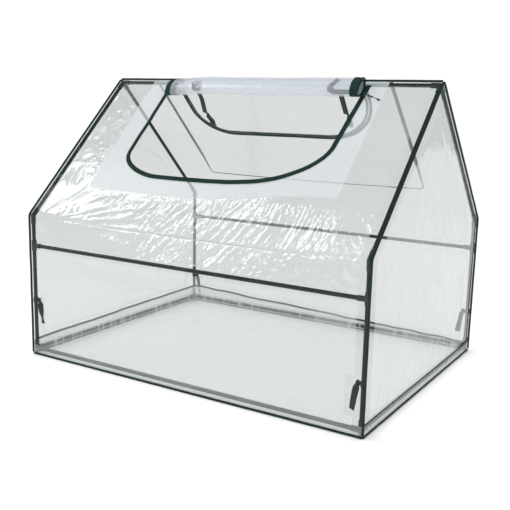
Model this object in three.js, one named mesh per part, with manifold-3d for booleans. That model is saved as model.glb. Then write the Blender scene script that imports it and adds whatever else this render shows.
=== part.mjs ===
// Mini greenhouse: a slot-together tube frame with a gabled roof, under a fitted clear film cover.
// Millimetres, +Z up. The origin is on the ground at the centre of the base. The front is -Y.
import * as THREE from "three";
import { mergeVertices } from "three/addons/utils/BufferGeometryUtils.js";
import Module from "manifold-3d";

const wasm = await Module();
wasm.setup();

// ---- Driving dimensions -------------------------------------------------------------------
const WIDTH = 1200; // outside of the cover, along X
const DEPTH = 910; // outside of the cover, along Y
const HEIGHT = 915; // ground to the top of the ridge piping
const SHOULDER = 470; // height where the walls meet the roof slopes
const RAIL_HEIGHT = 367; // centre line of the two rails along the long walls
const BASE_HEIGHT = 20; // centre line of the base tubes

const TUBE_RADIUS = 6;
const TUBE_BORE = 5.2;
const FITTING_RADIUS = 8;
const FITTING_REACH = 28; // from the hub to the mouth of a socket
const SOCKET_DEPTH = 20;
const HUB_RADIUS = FITTING_RADIUS - 0.01; // just inside the arms, so that no surfaces coincide
const SLEEVE_HALF = 18; // half the length of a rail tee's sleeve on its upright
const FOOT_RADIUS = 5;

const PIPING_RADIUS = 3.5; // covered cord sewn into the cover's seams
const FILM = 1; // thickness of the film sheets
const TAPE_WIDTH = 15; // zip tape
const TAPE_THICKNESS = 1;
const STRAP_WIDTH = 18;
const STRAP_THICKNESS = 1;
const GAP = 0.4; // between pieces that lie side by side
const OVERCUT = 1; // how far a cutting tool runs past the face it cuts through

// Half sizes to the middle of the film, which is also the centre of the piping.
const SIDE_X = WIDTH / 2 - PIPING_RADIUS;
const WALL_Y = DEPTH / 2 - PIPING_RADIUS;
const RIDGE_Z = HEIGHT - PIPING_RADIUS;
const HEM_Z = PIPING_RADIUS + 0.5;
const PITCH = Math.atan2(RIDGE_Z - SHOULDER, WALL_Y);
const SLOPE_LENGTH = Math.hypot(WALL_Y, RIDGE_Z - SHOULDER);
const FILM_INSET = PIPING_RADIUS + GAP; // from the piping's centre to the edge of a film panel
const FRAME_INSET = FITTING_RADIUS + 1; // from the film to the tubes' centre lines

// The gabled profile moved inwards by an inset, as the y and z of its corners.
function profile(inset) {
  const wallY = WALL_Y - inset;
  const ridgeZ = RIDGE_Z - inset / Math.cos(PITCH);
  return { wallY, ridgeZ, shoulderZ: ridgeZ - wallY * Math.tan(PITCH) };
}

const FRAME = { x: SIDE_X - FRAME_INSET, ...profile(FRAME_INSET) };

// Windows, measured down the slope from the ridge (drop) and across it.
const INSERT_HALF = 435; // the separate window panel let into each slope
const INSERT_DROP = 490;
const FRONT_WINDOW = {
  left: -350,
  right: 376,
  rightLean: 20, // how far the right arm leans inwards on its way down
  top: 20,
  bottom: 430,
  leftCorner: { x: 170, y: 95 },
  rightCorner: { x: 298, y: 170 },
};
const BACK_WINDOW = {
  left: -344,
  right: 354,
  rightLean: 0,
  top: 16,
  bottom: 262,
  leftCorner: { x: 200, y: 190 },
  rightCorner: { x: 125, y: 112 },
};
const FOLD_DROP = 40.5; // fold line of the back flap
const FOLD_CLEARANCE = 1.5; // from the fold line to the flap, and to the hole's upper edge
const FLAP_EDGE = 2.8; // the back flap's edge lies this far inside the zip's middle

const ROLL = { left: -328, right: 369, drop: 54, lift: 24, alongSlope: 36, offSlope: 20, wall: 2 };
const ROLL_END_WIDTH = { left: 21, right: 26 };
const ROLL_END_THICKNESS = 1.2;
const TIE_X = { left: -286, right: 252 };
const ROLL_TIE_TOP = 8; // drop of the upper end of the ties, which end behind the front roll
const BACK_TIE_TOP = 42.5;
const BACK_TIE_END = 205; // drop of the lower end of the back ties

const SLIDER = { width: 10, length: 16, height: 6 };
const SLIDER_PLACE = {
  front: { x: FRONT_WINDOW.right, drop: 62 }, // clear of the end of the roll
  back: { x: BACK_WINDOW.right + 4, drop: 27 }, // outside its zip's middle, clear of the flap
};
const PULL = {
  width: 6,
  neckWidth: 3,
  length: 53,
  neckLength: 39,
  thickness: 2,
  slant: THREE.MathUtils.degToRad(25),
};

const CORNER_TIE_HEIGHT = { front_left: 185, front_right: 146, back_right: 142, back_left: 112 };
const KNOT = { width: 14, depth: 5, height: 9 };
const TIE_TAIL = { drop: 76, start: 12, swing: 8, slant: 6 };

// A ground sheet, turned up at the left and back walls.
const FLOOR = {
  low: 1, // its underside
  cornerCut: 24,
  rightOverhang: 2.5, // past the middle of the right base tube
  frontOverhang: 3.5,
  clearance: 1, // from the upright edges to the fittings
  height: { frontLeft: 55, backLeft: 70, backRight: 32 },
};

// ---- Materials ------------------------------------------------------------------------------
function material(color, roughness, metalness, opacity = 1) {
  return new THREE.MeshStandardMaterial({
    color,
    roughness,
    metalness,
    opacity,
    transparent: opacity < 1,
  });
}

const PAINTED_STEEL = material(0x0c1f1c, 0.28, 0.4);
const FITTING_PLASTIC = material(0x0e2420, 0.4, 0);
const CLEAR_FILM = material(0xdfe8e6, 0.12, 0, 0.3);
const INSERT_FILM = material(0xe1e6ec, 0.2, 0, 0.45);
const FLOOR_FILM = material(0xe6eaea, 0.35, 0, 0.6);
const PIPING = material(0x123d31, 0.5, 0);
const ZIP_TAPE = material(0x16503f, 0.75, 0);
const WEBBING = material(0x26342f, 0.85, 0);
const ZIP_METAL = material(0x1b4a3c, 0.35, 0.5);
const PULL_PLASTIC = material(0x111514, 0.5, 0);

// ---- Helpers --------------------------------------------------------------------------------
const group = new THREE.Group();

function add(parent, name, geometry, surface) {
  const mesh = new THREE.Mesh(geometry, surface);
  mesh.name = name;
  parent.add(mesh);
  return mesh;
}

function toSolid(geometry) {
  const bare = geometry.clone();
  bare.deleteAttribute("normal");
  bare.deleteAttribute("uv");
  const merged = mergeVertices(bare, 1e-4);
  return new wasm.Manifold(
    new wasm.Mesh({
      numProp: 3,
      vertProperties: new Float32Array(merged.attributes.position.array),
      triVerts: new Uint32Array(merged.index.array),
    }),
  );
}

function toGeometry(solid) {
  const mesh = solid.getMesh();
  const geometry = new THREE.BufferGeometry();
  geometry.setAttribute("position", new THREE.BufferAttribute(mesh.vertProperties, 3));
  geometry.setIndex(new THREE.BufferAttribute(mesh.triVerts, 1));
  geometry.computeVertexNormals();
  return geometry;
}

function union(geometries) {
  const [first, ...others] = geometries.map(toSolid);
  return toGeometry(others.reduce((all, next) => all.add(next), first));
}

function cut(geometry, tools) {
  return toGeometry(tools.map(toSolid).reduce((all, next) => all.subtract(next), toSolid(geometry)));
}

// A straight round bar from one point to another, bored through when a bore radius is given.
function bar(from, to, radius, bore = 0, sides = 12) {
  const section = new THREE.Shape().absarc(0, 0, radius, 0, 2 * Math.PI);
  if (bore > 0) section.holes.push(new THREE.Path().absarc(0, 0, bore, 0, 2 * Math.PI));
  const along = to.clone().sub(from);
  const geometry = new THREE.ExtrudeGeometry(section, {
    depth: along.length(),
    bevelEnabled: false,
    curveSegments: sides / 2,
  });
  const turn = new THREE.Quaternion().setFromUnitVectors(
    new THREE.Vector3(0, 0, 1),
    along.normalize(),
  );
  return geometry.applyQuaternion(turn).translate(from.x, from.y, from.z);
}

// A flat plate of a 2-D outline, with its thickness from z = low upwards.
function plate(shape, low, thickness, curveSegments = 8) {
  return new THREE.ExtrudeGeometry(shape, {
    depth: thickness,
    bevelEnabled: false,
    curveSegments,
  }).translate(0, 0, low);
}

function polygon(points) {
  return new THREE.Shape(points.map(([x, y]) => new THREE.Vector2(x, y)));
}

function rectangle(left, bottom, right, top) {
  return polygon([
    [left, bottom],
    [right, bottom],
    [right, top],
    [left, top],
  ]);
}

// A piped cord along straight runs, with a ball at each bend.
function pipedCord(points, closed = false) {
  const ends = closed ? [...points.slice(1), points[0]] : points.slice(1);
  const runs = ends.map((end, i) => bar(points[i], end, PIPING_RADIUS, 0, 8));
  const bends = closed ? points : points.slice(1, -1);
  const balls = bends.map((at) =>
    new THREE.SphereGeometry(PIPING_RADIUS, 8, 6).translate(at.x, at.y, at.z),
  );
  return union([...runs, ...balls]);
}

// The frame of a roof slope: X across, Y up the slope with 0 on the ridge, Z out of the film.
// The back slope is the front one turned half round, so its X runs the other way.
function slopeGroup(side) {
  const turned = new THREE.Group();
  turned.rotation.z = side === "front" ? 0 : Math.PI;
  const slope = new THREE.Group();
  slope.position.z = RIDGE_Z;
  slope.rotation.x = PITCH;
  turned.add(slope);
  group.add(turned);
  return slope;
}

const slopes = { front: slopeGroup("front"), back: slopeGroup("back") };

const CORNERS = [
  { name: "front_left", x: -1, y: -1 },
  { name: "front_right", x: 1, y: -1 },
  { name: "back_right", x: 1, y: 1 },
  { name: "back_left", x: -1, y: 1 },
];
const SIDES = [
  { name: "left", sign: -1 },
  { name: "right", sign: 1 },
];
const WALLS = [
  { name: "front", sign: -1 },
  { name: "back", sign: 1 },
];

// ---- Tubes ------------------------------------------------------------------------------------
// Each tube stops short of the hubs it runs between, inside their sockets.
function addTube(name, from, to) {
  const along = to.clone().sub(from).normalize();
  const inset = FITTING_REACH - SOCKET_DEPTH + GAP;
  const start = from.clone().addScaledVector(along, inset);
  const end = to.clone().addScaledVector(along, -inset);
  add(group, name, bar(start, end, TUBE_RADIUS, TUBE_BORE), PAINTED_STEEL);
}

function addTubes() {
  const { x, wallY, shoulderZ, ridgeZ } = FRAME;
  const at = (px, py, pz) => new THREE.Vector3(px, py, pz);
  WALLS.forEach(({ name, sign }) => {
    const y = sign * wallY;
    addTube(`base_tube_${name}`, at(-x, y, BASE_HEIGHT), at(x, y, BASE_HEIGHT));
    addTube(`rail_${name}`, at(-x, y, RAIL_HEIGHT), at(x, y, RAIL_HEIGHT));
  });
  SIDES.forEach(({ name, sign }) => {
    addTube(
      `base_tube_${name}`,
      at(sign * x, -wallY, BASE_HEIGHT),
      at(sign * x, wallY, BASE_HEIGHT),
    );
  });
  CORNERS.forEach((corner) => {
    const px = corner.x * x;
    const py = corner.y * wallY;
    addTube(`upright_${corner.name}`, at(px, py, BASE_HEIGHT), at(px, py, shoulderZ));
    addTube(`rafter_${corner.name}`, at(px, py, shoulderZ), at(px, 0, ridgeZ));
  });
  addTube("ridge_tube", at(-x, 0, ridgeZ), at(x, 0, ridgeZ));
}

// ---- Plastic fittings ---------------------------------------------------------------------------
// A hub with one socket along each direction. A sleeve is an arm that its tube passes right through.
function fitting(directions, sleeve = null, foot = false) {
  const hub = new THREE.Vector3();
  const reach = (direction, length) => direction.clone().normalize().multiplyScalar(length);
  const bodies = directions.map((d) => bar(hub, reach(d, FITTING_REACH), FITTING_RADIUS));
  bodies.push(new THREE.SphereGeometry(HUB_RADIUS, 12, 8));
  if (sleeve) {
    bodies.push(bar(reach(sleeve, -SLEEVE_HALF), reach(sleeve, SLEEVE_HALF), FITTING_RADIUS));
  }
  if (foot) bodies.push(bar(new THREE.Vector3(0, 0, -BASE_HEIGHT), hub, FOOT_RADIUS));
  const bores = directions.map((d) =>
    bar(
      reach(d, sleeve ? 0 : FITTING_REACH - SOCKET_DEPTH),
      reach(d, FITTING_REACH + OVERCUT),
      TUBE_RADIUS + GAP,
    ),
  );
  if (sleeve) {
    const end = SLEEVE_HALF + OVERCUT;
    bores.push(bar(reach(sleeve, -end), reach(sleeve, end), TUBE_RADIUS + GAP));
  }
  return cut(union(bodies), bores);
}

function addFittings() {
  const { x, wallY, shoulderZ, ridgeZ } = FRAME;
  const up = new THREE.Vector3(0, 0, 1);
  CORNERS.forEach((corner) => {
    const inX = new THREE.Vector3(-corner.x, 0, 0);
    const inY = new THREE.Vector3(0, -corner.y, 0);
    const upSlope = new THREE.Vector3(0, -corner.y * Math.cos(PITCH), Math.sin(PITCH));
    const place = (name, geometry, z) =>
      add(group, `${name}_${corner.name}`, geometry, FITTING_PLASTIC).position.set(
        corner.x * x,
        corner.y * wallY,
        z,
      );
    place("base_corner", fitting([inX, inY, up], null, true), BASE_HEIGHT);
    place("rail_tee", fitting([inX], up), RAIL_HEIGHT);
    place("shoulder_elbow", fitting([up.clone().negate(), upSlope]), shoulderZ);
  });
  SIDES.forEach(({ name, sign }) => {
    const arms = [
      new THREE.Vector3(-sign, 0, 0),
      new THREE.Vector3(0, -Math.cos(PITCH), -Math.sin(PITCH)),
      new THREE.Vector3(0, Math.cos(PITCH), -Math.sin(PITCH)),
    ];
    const mesh = add(group, `ridge_fitting_${name}`, fitting(arms), FITTING_PLASTIC);
    mesh.position.set(sign * x, 0, ridgeZ);
  });
}

// ---- Cover ----------------------------------------------------------------------------------------
function addGables() {
  const { wallY, shoulderZ, ridgeZ } = profile(FILM_INSET);
  const shape = polygon([
    [-wallY, HEM_Z + FILM_INSET],
    [wallY, HEM_Z + FILM_INSET],
    [wallY, shoulderZ],
    [0, ridgeZ],
    [-wallY, shoulderZ],
  ]);
  SIDES.forEach(({ name, sign }) => {
    const panel = plate(shape, -FILM / 2, FILM).rotateX(Math.PI / 2).rotateZ(Math.PI / 2);
    add(group, `gable_panel_${name}`, panel, CLEAR_FILM).position.x = sign * SIDE_X;
  });
}

function addWalls() {
  const half = SIDE_X - FILM_INSET;
  const shape = rectangle(-half, HEM_Z + FILM_INSET, half, SHOULDER - FILM);
  WALLS.forEach(({ name, sign }) => {
    const mesh = add(group, `${name}_wall_film`, plate(shape, -FILM / 2, FILM), CLEAR_FILM);
    mesh.rotation.x = Math.PI / 2;
    mesh.position.y = sign * WALL_Y;
  });
}

// The slope film runs round three sides of its window panel, which reaches up to the ridge.
function addSlopeFilms() {
  const half = SIDE_X - FILM_INSET;
  const inner = INSERT_HALF + GAP;
  const shape = polygon([
    [-half, -SLOPE_LENGTH + FILM],
    [half, -SLOPE_LENGTH + FILM],
    [half, -FILM_INSET],
    [inner, -FILM_INSET],
    [inner, -INSERT_DROP - GAP],
    [-inner, -INSERT_DROP - GAP],
    [-inner, -FILM_INSET],
    [-half, -FILM_INSET],
  ]);
  Object.entries(slopes).forEach(([side, slope]) => {
    add(slope, `${side}_slope_film`, plate(shape, -FILM / 2, FILM), CLEAR_FILM);
  });
}

// The outline of a window as a path down its left arm, along the bottom and up its right arm,
// moved outwards by an offset.
function windowPath(win, top, offset) {
  const left = win.left - offset;
  const right = win.right + offset;
  const bottom = -win.bottom - offset;
  const turnX = right - win.rightLean; // where the right arm meets its corner
  const a = { x: win.leftCorner.x + offset, y: win.leftCorner.y + offset };
  const b = { x: win.rightCorner.x + offset, y: win.rightCorner.y + offset };
  const path = new THREE.Path();
  path.moveTo(left, -top);
  path.lineTo(left, bottom + a.y);
  path.absellipse(left + a.x, bottom + a.y, a.x, a.y, Math.PI, 1.5 * Math.PI);
  path.lineTo(turnX - b.x, bottom);
  path.absellipse(turnX - b.x, bottom + b.y, b.x, b.y, 1.5 * Math.PI, 2 * Math.PI);
  path.lineTo(right, -top);
  return path;
}

function windowShape(win, top, offset) {
  return new THREE.Shape(windowPath(win, top, offset).getPoints(6));
}

function addWindowPanel(side, win, holeTop) {
  const panel = rectangle(-INSERT_HALF, -INSERT_DROP, INSERT_HALF, -FILM_INSET);
  panel.holes.push(windowShape(win, holeTop, 0));
  add(slopes[side], `${side}_window_panel`, plate(panel, -FILM / 2, FILM), INSERT_FILM);
}

// A U-shaped band of tape between two offsets from the zip's middle line, on top of the film.
function addZipTape(side, win, innerOffset) {
  const outer = windowPath(win, win.top, TAPE_WIDTH / 2).getPoints(6);
  const inner = windowPath(win, win.top, innerOffset).getPoints(6);
  const band = new THREE.Shape([...outer, ...inner.reverse()]);
  const low = FILM / 2 + GAP;
  add(slopes[side], `${side}_zip_tape`, plate(band, low, TAPE_THICKNESS), ZIP_TAPE);
}

function addBackFlap() {
  const shape = windowShape(BACK_WINDOW, FOLD_DROP + FOLD_CLEARANCE, -FLAP_EDGE);
  add(slopes.back, "back_flap", plate(shape, -FILM / 2, FILM), CLEAR_FILM);
}

function addPiping() {
  const at = (x, y, z) => new THREE.Vector3(x, y, z);
  const gableFoot = HEM_Z + PIPING_RADIUS + GAP;
  SIDES.forEach(({ name, sign }) => {
    const x = sign * SIDE_X;
    const points = [
      at(x, -WALL_Y, gableFoot),
      at(x, -WALL_Y, SHOULDER),
      at(x, 0, RIDGE_Z),
      at(x, WALL_Y, SHOULDER),
      at(x, WALL_Y, gableFoot),
    ];
    add(group, `gable_piping_${name}`, pipedCord(points), PIPING);
  });
  const ridgeEnd = SIDE_X - FILM_INSET;
  add(
    group,
    "ridge_piping",
    pipedCord([at(-ridgeEnd, 0, RIDGE_Z), at(ridgeEnd, 0, RIDGE_Z)]),
    PIPING,
  );
  const hem = CORNERS.map(({ x, y }) => at(x * SIDE_X, y * WALL_Y, HEM_Z));
  add(group, "hem_piping", pipedCord(hem, true), PIPING);
}

// A loose ground sheet. It lies under the base tubes at the front and right,
// and is turned up against them at the left and back, where it is too long.
function addFloorSheet() {
  const inset = FITTING_RADIUS + FLOOR.clearance;
  const { low, cornerCut, height } = FLOOR;
  const left = -FRAME.x + inset;
  const back = FRAME.wallY - inset;
  const right = FRAME.x + FLOOR.rightOverhang;
  const front = -FRAME.wallY - FLOOR.frontOverhang;
  const frontInner = -FRAME.wallY + inset;
  const rightInner = FRAME.x - inset;
  const ground = polygon([
    [left, frontInner],
    [left + cornerCut, front],
    [right - cornerCut, front],
    [right, front + cornerCut],
    [rightInner + FITTING_RADIUS, back - cornerCut],
    [rightInner, back],
    [left, back],
  ]);
  const leftFold = polygon([
    [frontInner, low],
    [back, low],
    [back, height.backLeft],
    [frontInner, height.frontLeft],
  ]);
  const backFold = polygon([
    [left, low],
    [rightInner, low],
    [rightInner, height.backRight],
    [left, height.backLeft],
  ]);
  const pieces = [
    plate(ground, low, FILM),
    plate(leftFold, 0, FILM)
      .rotateX(Math.PI / 2)
      .rotateZ(Math.PI / 2)
      .translate(left, 0, 0),
    plate(backFold, 0, FILM).rotateX(Math.PI / 2).translate(0, back, 0),
  ];
  add(group, "floor_sheet", union(pieces), FLOOR_FILM);
}

// ---- Front flap, rolled up under the ridge ----------------------------------------------------------
function ellipse(alongSlope, offSlope) {
  return new THREE.Path().absellipse(0, 0, offSlope, alongSlope, 0, 2 * Math.PI);
}

// An oval bar across the slope: the section's Y lies along the slope and its X off the slope.
function ovalAcross(section, length, left) {
  return new THREE.ExtrudeGeometry(section, {
    depth: length,
    bevelEnabled: false,
    curveSegments: 8,
  })
    .applyMatrix4(new THREE.Matrix4().set(0, 0, 1, 0, 0, 1, 0, 0, -1, 0, 0, 0, 0, 0, 0, 1))
    .translate(left, -ROLL.drop, ROLL.lift);
}

function addFrontRoll() {
  const roll = new THREE.Shape(ellipse(ROLL.alongSlope, ROLL.offSlope).getPoints(8));
  roll.holes.push(ellipse(ROLL.alongSlope - ROLL.wall, ROLL.offSlope - ROLL.wall));
  const rollGeometry = ovalAcross(roll, ROLL.right - ROLL.left, ROLL.left);
  add(slopes.front, "front_flap_roll", rollGeometry, INSERT_FILM);
  const grown = GAP + ROLL_END_THICKNESS;
  const ring = new THREE.Shape(
    ellipse(ROLL.alongSlope + grown, ROLL.offSlope + grown).getPoints(8),
  );
  ring.holes.push(ellipse(ROLL.alongSlope + GAP, ROLL.offSlope + GAP));
  const starts = { left: ROLL.left, right: ROLL.right - ROLL_END_WIDTH.right };
  Object.entries(starts).forEach(([name, at]) => {
    const end = ovalAcross(ring, ROLL_END_WIDTH[name], at);
    add(slopes.front, `front_roll_end_${name}`, end, ZIP_TAPE);
  });
}

// ---- Ties ----------------------------------------------------------------------------------------
function addRidgeTies() {
  const strap = (x, top, bottom) =>
    rectangle(x - STRAP_WIDTH / 2, -bottom, x + STRAP_WIDTH / 2, -top);
  const low = FILM / 2 + GAP;
  Object.entries(TIE_X).forEach(([name, x]) => {
    const rollTie = strap(x, ROLL_TIE_TOP, ROLL.drop);
    add(slopes.front, `front_tie_${name}`, plate(rollTie, low, STRAP_THICKNESS), WEBBING);
    const flapTie = strap(-x, BACK_TIE_TOP, BACK_TIE_END);
    add(slopes.back, `back_tie_${name}`, plate(flapTie, low, STRAP_THICKNESS), WEBBING);
  });
}

// A strap sewn into the corner seam: a loop round the upright, a knot, and a hanging tail.
function addCornerTies() {
  const { x, wallY } = FRAME;
  const loopInner = TUBE_RADIUS + GAP;
  const loopOuter = loopInner + STRAP_THICKNESS;
  CORNERS.forEach((corner) => {
    const ring = new THREE.Shape().absarc(0, 0, loopOuter, 0, 2 * Math.PI);
    ring.holes.push(new THREE.Path().absarc(0, 0, loopInner, 0, 2 * Math.PI));
    const loop = plate(ring, -STRAP_WIDTH / 2, STRAP_WIDTH, 6);
    const inward = -corner.x;
    const knot = new THREE.BoxGeometry(KNOT.width, KNOT.depth, KNOT.height);
    knot.translate(inward * KNOT.width, 0, 0);
    const shifted = TIE_TAIL.start + TIE_TAIL.swing;
    const tail = plate(
      polygon([
        [TIE_TAIL.start, -KNOT.height / 3],
        [shifted, KNOT.height / 3],
        [shifted + STRAP_WIDTH, TIE_TAIL.slant - TIE_TAIL.drop],
        [shifted, -TIE_TAIL.drop],
      ]),
      -STRAP_THICKNESS / 2,
      STRAP_THICKNESS,
    ).rotateX(Math.PI / 2);
    if (inward < 0) tail.rotateZ(Math.PI);
    const mesh = add(group, `corner_tie_${corner.name}`, union([loop, knot, tail]), WEBBING);
    mesh.position.set(corner.x * x, corner.y * wallY, CORNER_TIE_HEIGHT[corner.name]);
  });
}

// ---- Zip sliders ------------------------------------------------------------------------------------
// The slider rides on the right arm of its zip. Its pull lies on the film, slanting outwards,
// far enough from the slider to be flipped up beside it.
function addZipSlider(side) {
  const low = FILM / 2 + GAP + TAPE_THICKNESS + GAP;
  const { x, drop } = SLIDER_PLACE[side];
  const slider = new THREE.BoxGeometry(SLIDER.width, SLIDER.length, SLIDER.height);
  add(slopes[side], `${side}_zip_slider`, slider, ZIP_METAL).position.set(
    x,
    -drop,
    low + SLIDER.height / 2,
  );
  const half = PULL.width / 2;
  const neck = PULL.neckWidth / 2;
  const shape = polygon([
    [0, -neck],
    [PULL.neckLength, -neck],
    [PULL.length, -half],
    [PULL.length, half],
    [PULL.neckLength, neck],
    [0, neck],
  ]);
  const pull = add(slopes[side], `${side}_zip_pull`, plate(shape, 0, PULL.thickness), PULL_PLASTIC);
  pull.rotation.z = -PULL.slant;
  pull.position.set(x + SLIDER.width / 2 + PULL.thickness + 2 * GAP, -drop, low);
}

addTubes();
addFittings();
addGables();
addWalls();
addSlopeFilms();
addWindowPanel("front", FRONT_WINDOW, FRONT_WINDOW.top);
addWindowPanel("back", BACK_WINDOW, FOLD_DROP - FOLD_CLEARANCE);
addZipTape("front", FRONT_WINDOW, -TAPE_WIDTH / 2);
addZipTape("back", BACK_WINDOW, GAP - FLAP_EDGE);
addBackFlap();
addPiping();
addFloorSheet();
addFrontRoll();
addRidgeTies();
addCornerTies();
addZipSlider("front");
addZipSlider("back");

export default group;
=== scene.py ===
"""Mini greenhouse: a dark green tube frame with a gabled roof, under a fitted cover of clear film.

Lengths are in millimetres until a piece is made, and the origin is on the ground under the middle.
"""

import math

import bpy
import numpy as np
from mathutils import Matrix, Vector


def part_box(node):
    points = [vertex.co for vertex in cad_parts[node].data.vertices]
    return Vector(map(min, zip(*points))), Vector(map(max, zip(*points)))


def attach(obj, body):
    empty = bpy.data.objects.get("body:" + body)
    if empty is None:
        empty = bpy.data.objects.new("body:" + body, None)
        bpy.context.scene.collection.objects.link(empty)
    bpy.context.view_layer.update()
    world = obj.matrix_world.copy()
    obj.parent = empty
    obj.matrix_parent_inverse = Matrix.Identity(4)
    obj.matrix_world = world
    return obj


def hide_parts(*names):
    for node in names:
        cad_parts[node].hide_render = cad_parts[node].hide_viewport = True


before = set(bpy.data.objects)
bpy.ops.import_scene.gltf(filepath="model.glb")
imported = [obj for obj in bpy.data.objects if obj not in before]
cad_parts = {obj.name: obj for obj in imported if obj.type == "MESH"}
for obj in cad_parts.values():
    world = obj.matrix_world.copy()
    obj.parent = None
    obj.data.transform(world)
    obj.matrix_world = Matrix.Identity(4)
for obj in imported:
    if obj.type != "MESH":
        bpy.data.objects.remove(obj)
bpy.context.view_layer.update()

MM = 0.001
ROOT = "frame_and_cover"


# ---- Sizes read from the CAD ----
def box_mm(node):
    """The low and high corner of a CAD node's box, in millimetres."""
    low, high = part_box(node)
    return np.array(low) / MM, np.array(high) / MM


def middle(node):
    """The middle of a CAD node's box, in millimetres."""
    low, high = box_mm(node)
    return (low + high) / 2


SIDE_X = middle("gable_panel_right")[0]
WALL_Y = middle("back_wall_film")[1]
RIDGE_Z = middle("ridge_piping")[2]
HEM_Z = middle("hem_piping")[2]
SHOULDER_Z = box_mm("front_wall_film")[1][2] + 1  # the wall film ends 1 mm under the fold
PITCH = math.atan2(RIDGE_Z - SHOULDER_Z, WALL_Y)
SLOPE = math.hypot(WALL_Y, RIDGE_Z - SHOULDER_Z)
COS, SIN = math.cos(PITCH), math.sin(PITCH)
TUBE_X = middle("upright_front_right")[0]
TUBE_Y = middle("upright_back_right")[1]
RAIL_Z = middle("rail_front")[2]
BASE_Z = middle("base_tube_front")[2]

PIPING_RADIUS = 3.5
TUBE_RADIUS = 6
FILM_EDGE = PIPING_RADIUS + 0.4  # from the middle of the piping to the edge of a film panel
TUBE_INSET = 9  # from the film to the middle line of the tubes behind it

RAIL_DROP = SLOPE + SHOULDER_Z - RAIL_Z  # from the ridge, down along the film
INSERT_HALF = box_mm("front_window_panel")[1][0]
INSERT_DROP = 490  # from the ridge to the lower edge of a window panel
FRONT_WINDOW = {
    "left": -350, "right": 376, "right_lean": 20, "top": 20, "bottom": 430,
    "left_corner": (170, 95), "right_corner": (298, 170),
}
BACK_WINDOW = {
    "left": -344, "right": 354, "right_lean": 0, "top": 16, "bottom": 262,
    "left_corner": (200, 190), "right_corner": (125, 112),
}
FOLD_DROP = 40.5  # the back flap's fold
TAPE_HALF = 7.5
ROLL = {  # its ends, the place of its middle line, and its two radii
    "left": -328, "right": 369, "drop": 54, "lift": 24, "along": 35, "off": 19.5,
}
SEAM_DROP, SEAM_LIFT = 14, 1.5  # of the seam that the front flap hangs from
ROLL_TAPE_WIDTH = {"left": 42, "right": 26}  # half of the left one is under film
ROLL_FILM_START, ROLL_FILM_END = ROLL["left"] + 21, ROLL["right"] - 4
SLIDER_PLACE = {"front": (FRONT_WINDOW["right"], 62), "back": (BACK_WINDOW["right"] + 4, 27)}
STRAP_WIDTH = 18
TIE_X = {"left": -286, "right": 252}
BACK_TIE_TOP, BACK_TIE_END = 42.5, 205
BACK_TIE_SPOTS = ((298, 235), (-253, BACK_TIE_END))  # middle in x and lower end of each back tie
TIE_CORNERS = {  # the side in x, the side in y and the height of each knot
    "front_left": (-1, -1, 185), "front_right": (1, -1, 146),
    "back_right": (1, 1, 142), "back_left": (-1, 1, 112),
}


# ---- Noise and creases ----
NOISE_CELLS = 64


def noise(x, y, seed):
    """Smooth gradient noise in the plane, within about 0.7 of zero, and the same on every run."""
    angles = np.random.default_rng(seed).uniform(0, 2 * np.pi, (NOISE_CELLS, NOISE_CELLS))
    x, y = np.broadcast_arrays(np.asarray(x, float), np.asarray(y, float))
    column, row = np.floor(x).astype(int), np.floor(y).astype(int)
    fx, fy = x - column, y - row

    def corner(i, j):
        angle = angles[(column + i) % NOISE_CELLS, (row + j) % NOISE_CELLS]
        return np.cos(angle) * (fx - i) + np.sin(angle) * (fy - j)

    sx, sy = smooth(fx), smooth(fy)
    near = corner(0, 0) * (1 - sx) + corner(1, 0) * sx
    far = corner(0, 1) * (1 - sx) + corner(1, 1) * sx
    return near * (1 - sy) + far * sy


def smooth(t):
    """An even start and end between 0 and 1."""
    t = np.clip(t, 0, 1)
    return t * t * (3 - 2 * t)


def ramp(value, start, end):
    """0 before start, 1 after end, and smooth between them."""
    return smooth((value - start) / (end - start))


def creases(x, y, seed, sharpness=4.0):
    """Narrow folds with flat film between them, from 0 to 1."""
    return np.clip(1 - sharpness * np.abs(noise(x, y, seed)), 0, 1)


# ---- The cover's surfaces ----
BEND = 26  # half the length of film that bends over the shoulder, where no tube runs
LEFT_SHOULDER = (-600, 650)  # creases of the front film spread from these two points
PANEL_CORNER = (405, 470)
CENTRE_STREAKS = (  # depth, heading, width, length and seed
    (1.8, 2.3, 26, 170, 5),
    (1.2, 1.9, 13, 80, 6),
    (0.9, 2.6, 9, 60, 8),
)
FULL_SAG = {"front": 60, "back": 30}
SAG_START = SLOPE - 250  # the film hangs straight above this


def fan(x, s, centre, heading, spread, reach, seed, count=13.0):
    """Creases that spread from a point, in a sector about a heading in radians."""
    dx, ds = x - centre[0], s - centre[1]
    away = np.hypot(dx, ds)
    turn = np.arctan2(ds, dx) - heading
    turn = (turn + np.pi) % (2 * np.pi) - np.pi
    within = 1 - ramp(np.abs(turn), 0.55 * spread, spread)
    fade = ramp(away, 15, 70) * (1 - ramp(away, 0.55 * reach, reach))
    return creases(turn * count, away / 210, seed, 2.5) * within * fade * away / 300


def streaks(x, s, heading, width, length, seed):
    """Creases that run along a heading in radians."""
    along = x * math.cos(heading) + s * math.sin(heading)
    across = s * math.cos(heading) - x * math.sin(heading)
    return creases(across / width, along / length, seed, 2.5)


def off_zip(x, s, centre, end):
    """Flattens the film under the straight part of a zip, where its slider runs."""
    near = (1 - ramp(np.abs(x - centre), 20, 70)) * (1 - ramp(s, end, end + 50))
    return 1 - 0.95 * near


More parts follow.
